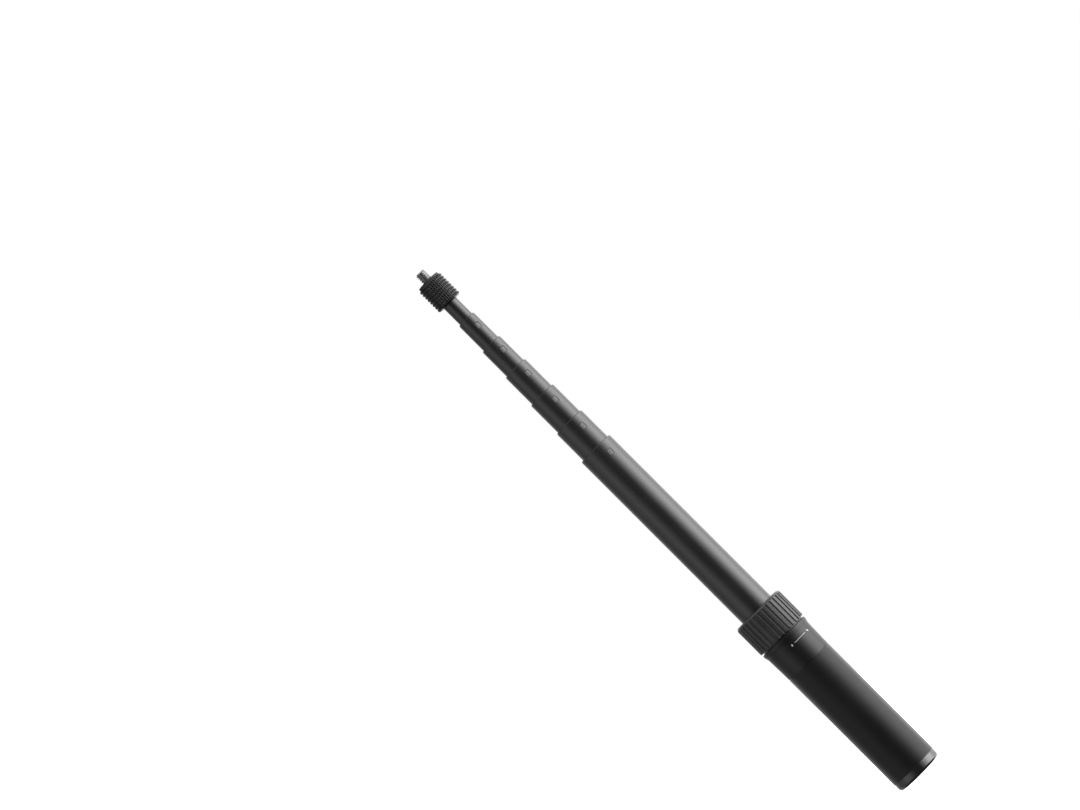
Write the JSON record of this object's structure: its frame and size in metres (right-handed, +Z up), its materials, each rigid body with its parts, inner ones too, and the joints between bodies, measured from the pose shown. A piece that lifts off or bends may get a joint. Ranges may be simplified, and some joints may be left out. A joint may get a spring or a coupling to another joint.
{
  "type": "selfie stick",
  "caption": "Telescopic selfie stick: round grip with a glossy base cap, ribbed twist-lock ring, nested black tubes with small windows, and a knurled wheel with a quarter-inch camera stud.",
  "frame": {"origin": "middle of the base cap's underside", "axes": "+Z up the pole towards the camera stud; -Y is the front, where the windows and the lock marks face; the tubes' flutes run down the back on +Y"},
  "size_m": [0.0318, 0.0318, 0.3862],
  "materials": {
    "gloss_cap": "glossy black moulded plastic",
    "soft_grip": "matt black soft-touch sleeve, very fine grain",
    "collar_plastic": "matt black moulded plastic, fine grain",
    "ring_plastic": "satin black moulded plastic with worn rib edges",
    "black_tube": "black anodised, satin, fine drawn lines along the tube",
    "bush_plastic": "dark grey acetal, smooth satin",
    "slide_plastic": "dark acetal, smooth satin",
    "plain_steel": "bright zinc-plated steel",
    "stud_steel": "bright machined steel, dark in the thread",
    "brass_insert": "machined brass",
    "knurl_metal": "black anodised with a fine knurl of small pyramids, satin",
    "black_rubber": "black rubber, matt"
  },
  "bodies": {
    "handle": {"base_cap": "gloss_cap", "base_insert": "brass_insert", "base_bumper": "black_rubber", "cap_pins": "plain_steel", "handle_barrel": "black_tube", "handle_sleeve": "soft_grip", "collar": "collar_plastic", "brake_sleeve": "slide_plastic", "neck_pins": "plain_steel", "stop_pin": "plain_steel", "ring_retainer": "plain_steel", "wiper_ring": "black_rubber"},
    "lock_ring": {"lock_ring": "ring_plastic", "cam_ring": "slide_plastic"},
    "section_1": {"tube_1": "black_tube", "guide_bush_1": "bush_plastic", "slide_bush_1": "bush_plastic"},
    "section_2": {"tube_2": "black_tube", "guide_bush_2": "bush_plastic", "slide_bush_2": "bush_plastic"},
    "section_3": {"tube_3": "black_tube", "guide_bush_3": "bush_plastic", "slide_bush_3": "bush_plastic"},
    "section_4": {"tube_4": "black_tube", "guide_bush_4": "bush_plastic", "slide_bush_4": "bush_plastic"},
    "section_5": {"tube_5": "black_tube", "guide_bush_5": "bush_plastic", "slide_bush_5": "bush_plastic"},
    "section_6": {"tube_6": "black_tube", "guide_bush_6": "bush_plastic", "slide_bush_6": "bush_plastic"},
    "section_7": {"tube_7": "black_tube", "slide_bush_7": "bush_plastic", "head_plug": "black_tube", "axle_clip": "plain_steel"},
    "clamp_wheel": {"clamp_wheel": "knurl_metal", "camera_stud": "stud_steel", "top_pad": "black_rubber", "thrust_washer": "slide_plastic"}
  },
  "joints": [
    {"name": "lock_turn", "type": "hinge", "parent": "handle", "child": "lock_ring", "pos_m": [0, 0, 0.116], "axis": [0, 0, 1], "range_deg": [0, 49]},
    {"name": "section_1_slide", "type": "slide", "parent": "handle", "child": "section_1", "axis": [0, 0, 1], "range_m": [-0.0795, 0]},
    {"name": "section_2_slide", "type": "slide", "parent": "section_1", "child": "section_2", "axis": [0, 0, 1], "range_m": [-0.019, 0.1167]},
    {"name": "section_3_slide", "type": "slide", "parent": "section_2", "child": "section_3", "axis": [0, 0, 1], "range_m": [-0.0195, 0.1162]},
    {"name": "section_4_slide", "type": "slide", "parent": "section_3", "child": "section_4", "axis": [0, 0, 1], "range_m": [-0.0191, 0.1166]},
    {"name": "section_5_slide", "type": "slide", "parent": "section_4", "child": "section_5", "axis": [0, 0, 1], "range_m": [-0.0174, 0.1183]},
    {"name": "section_6_slide", "type": "slide", "parent": "section_5", "child": "section_6", "axis": [0, 0, 1], "range_m": [-0.0177, 0.118]},
    {"name": "section_7_slide", "type": "slide", "parent": "section_6", "child": "section_7", "axis": [0, 0, 1], "range_m": [-0.0104, 0.1253]},
    {"name": "wheel_turn", "type": "hinge", "parent": "section_7", "child": "clamp_wheel", "pos_m": [0, 0, 0.371], "axis": [0, 0, 1], "continuous": true}
  ]
}
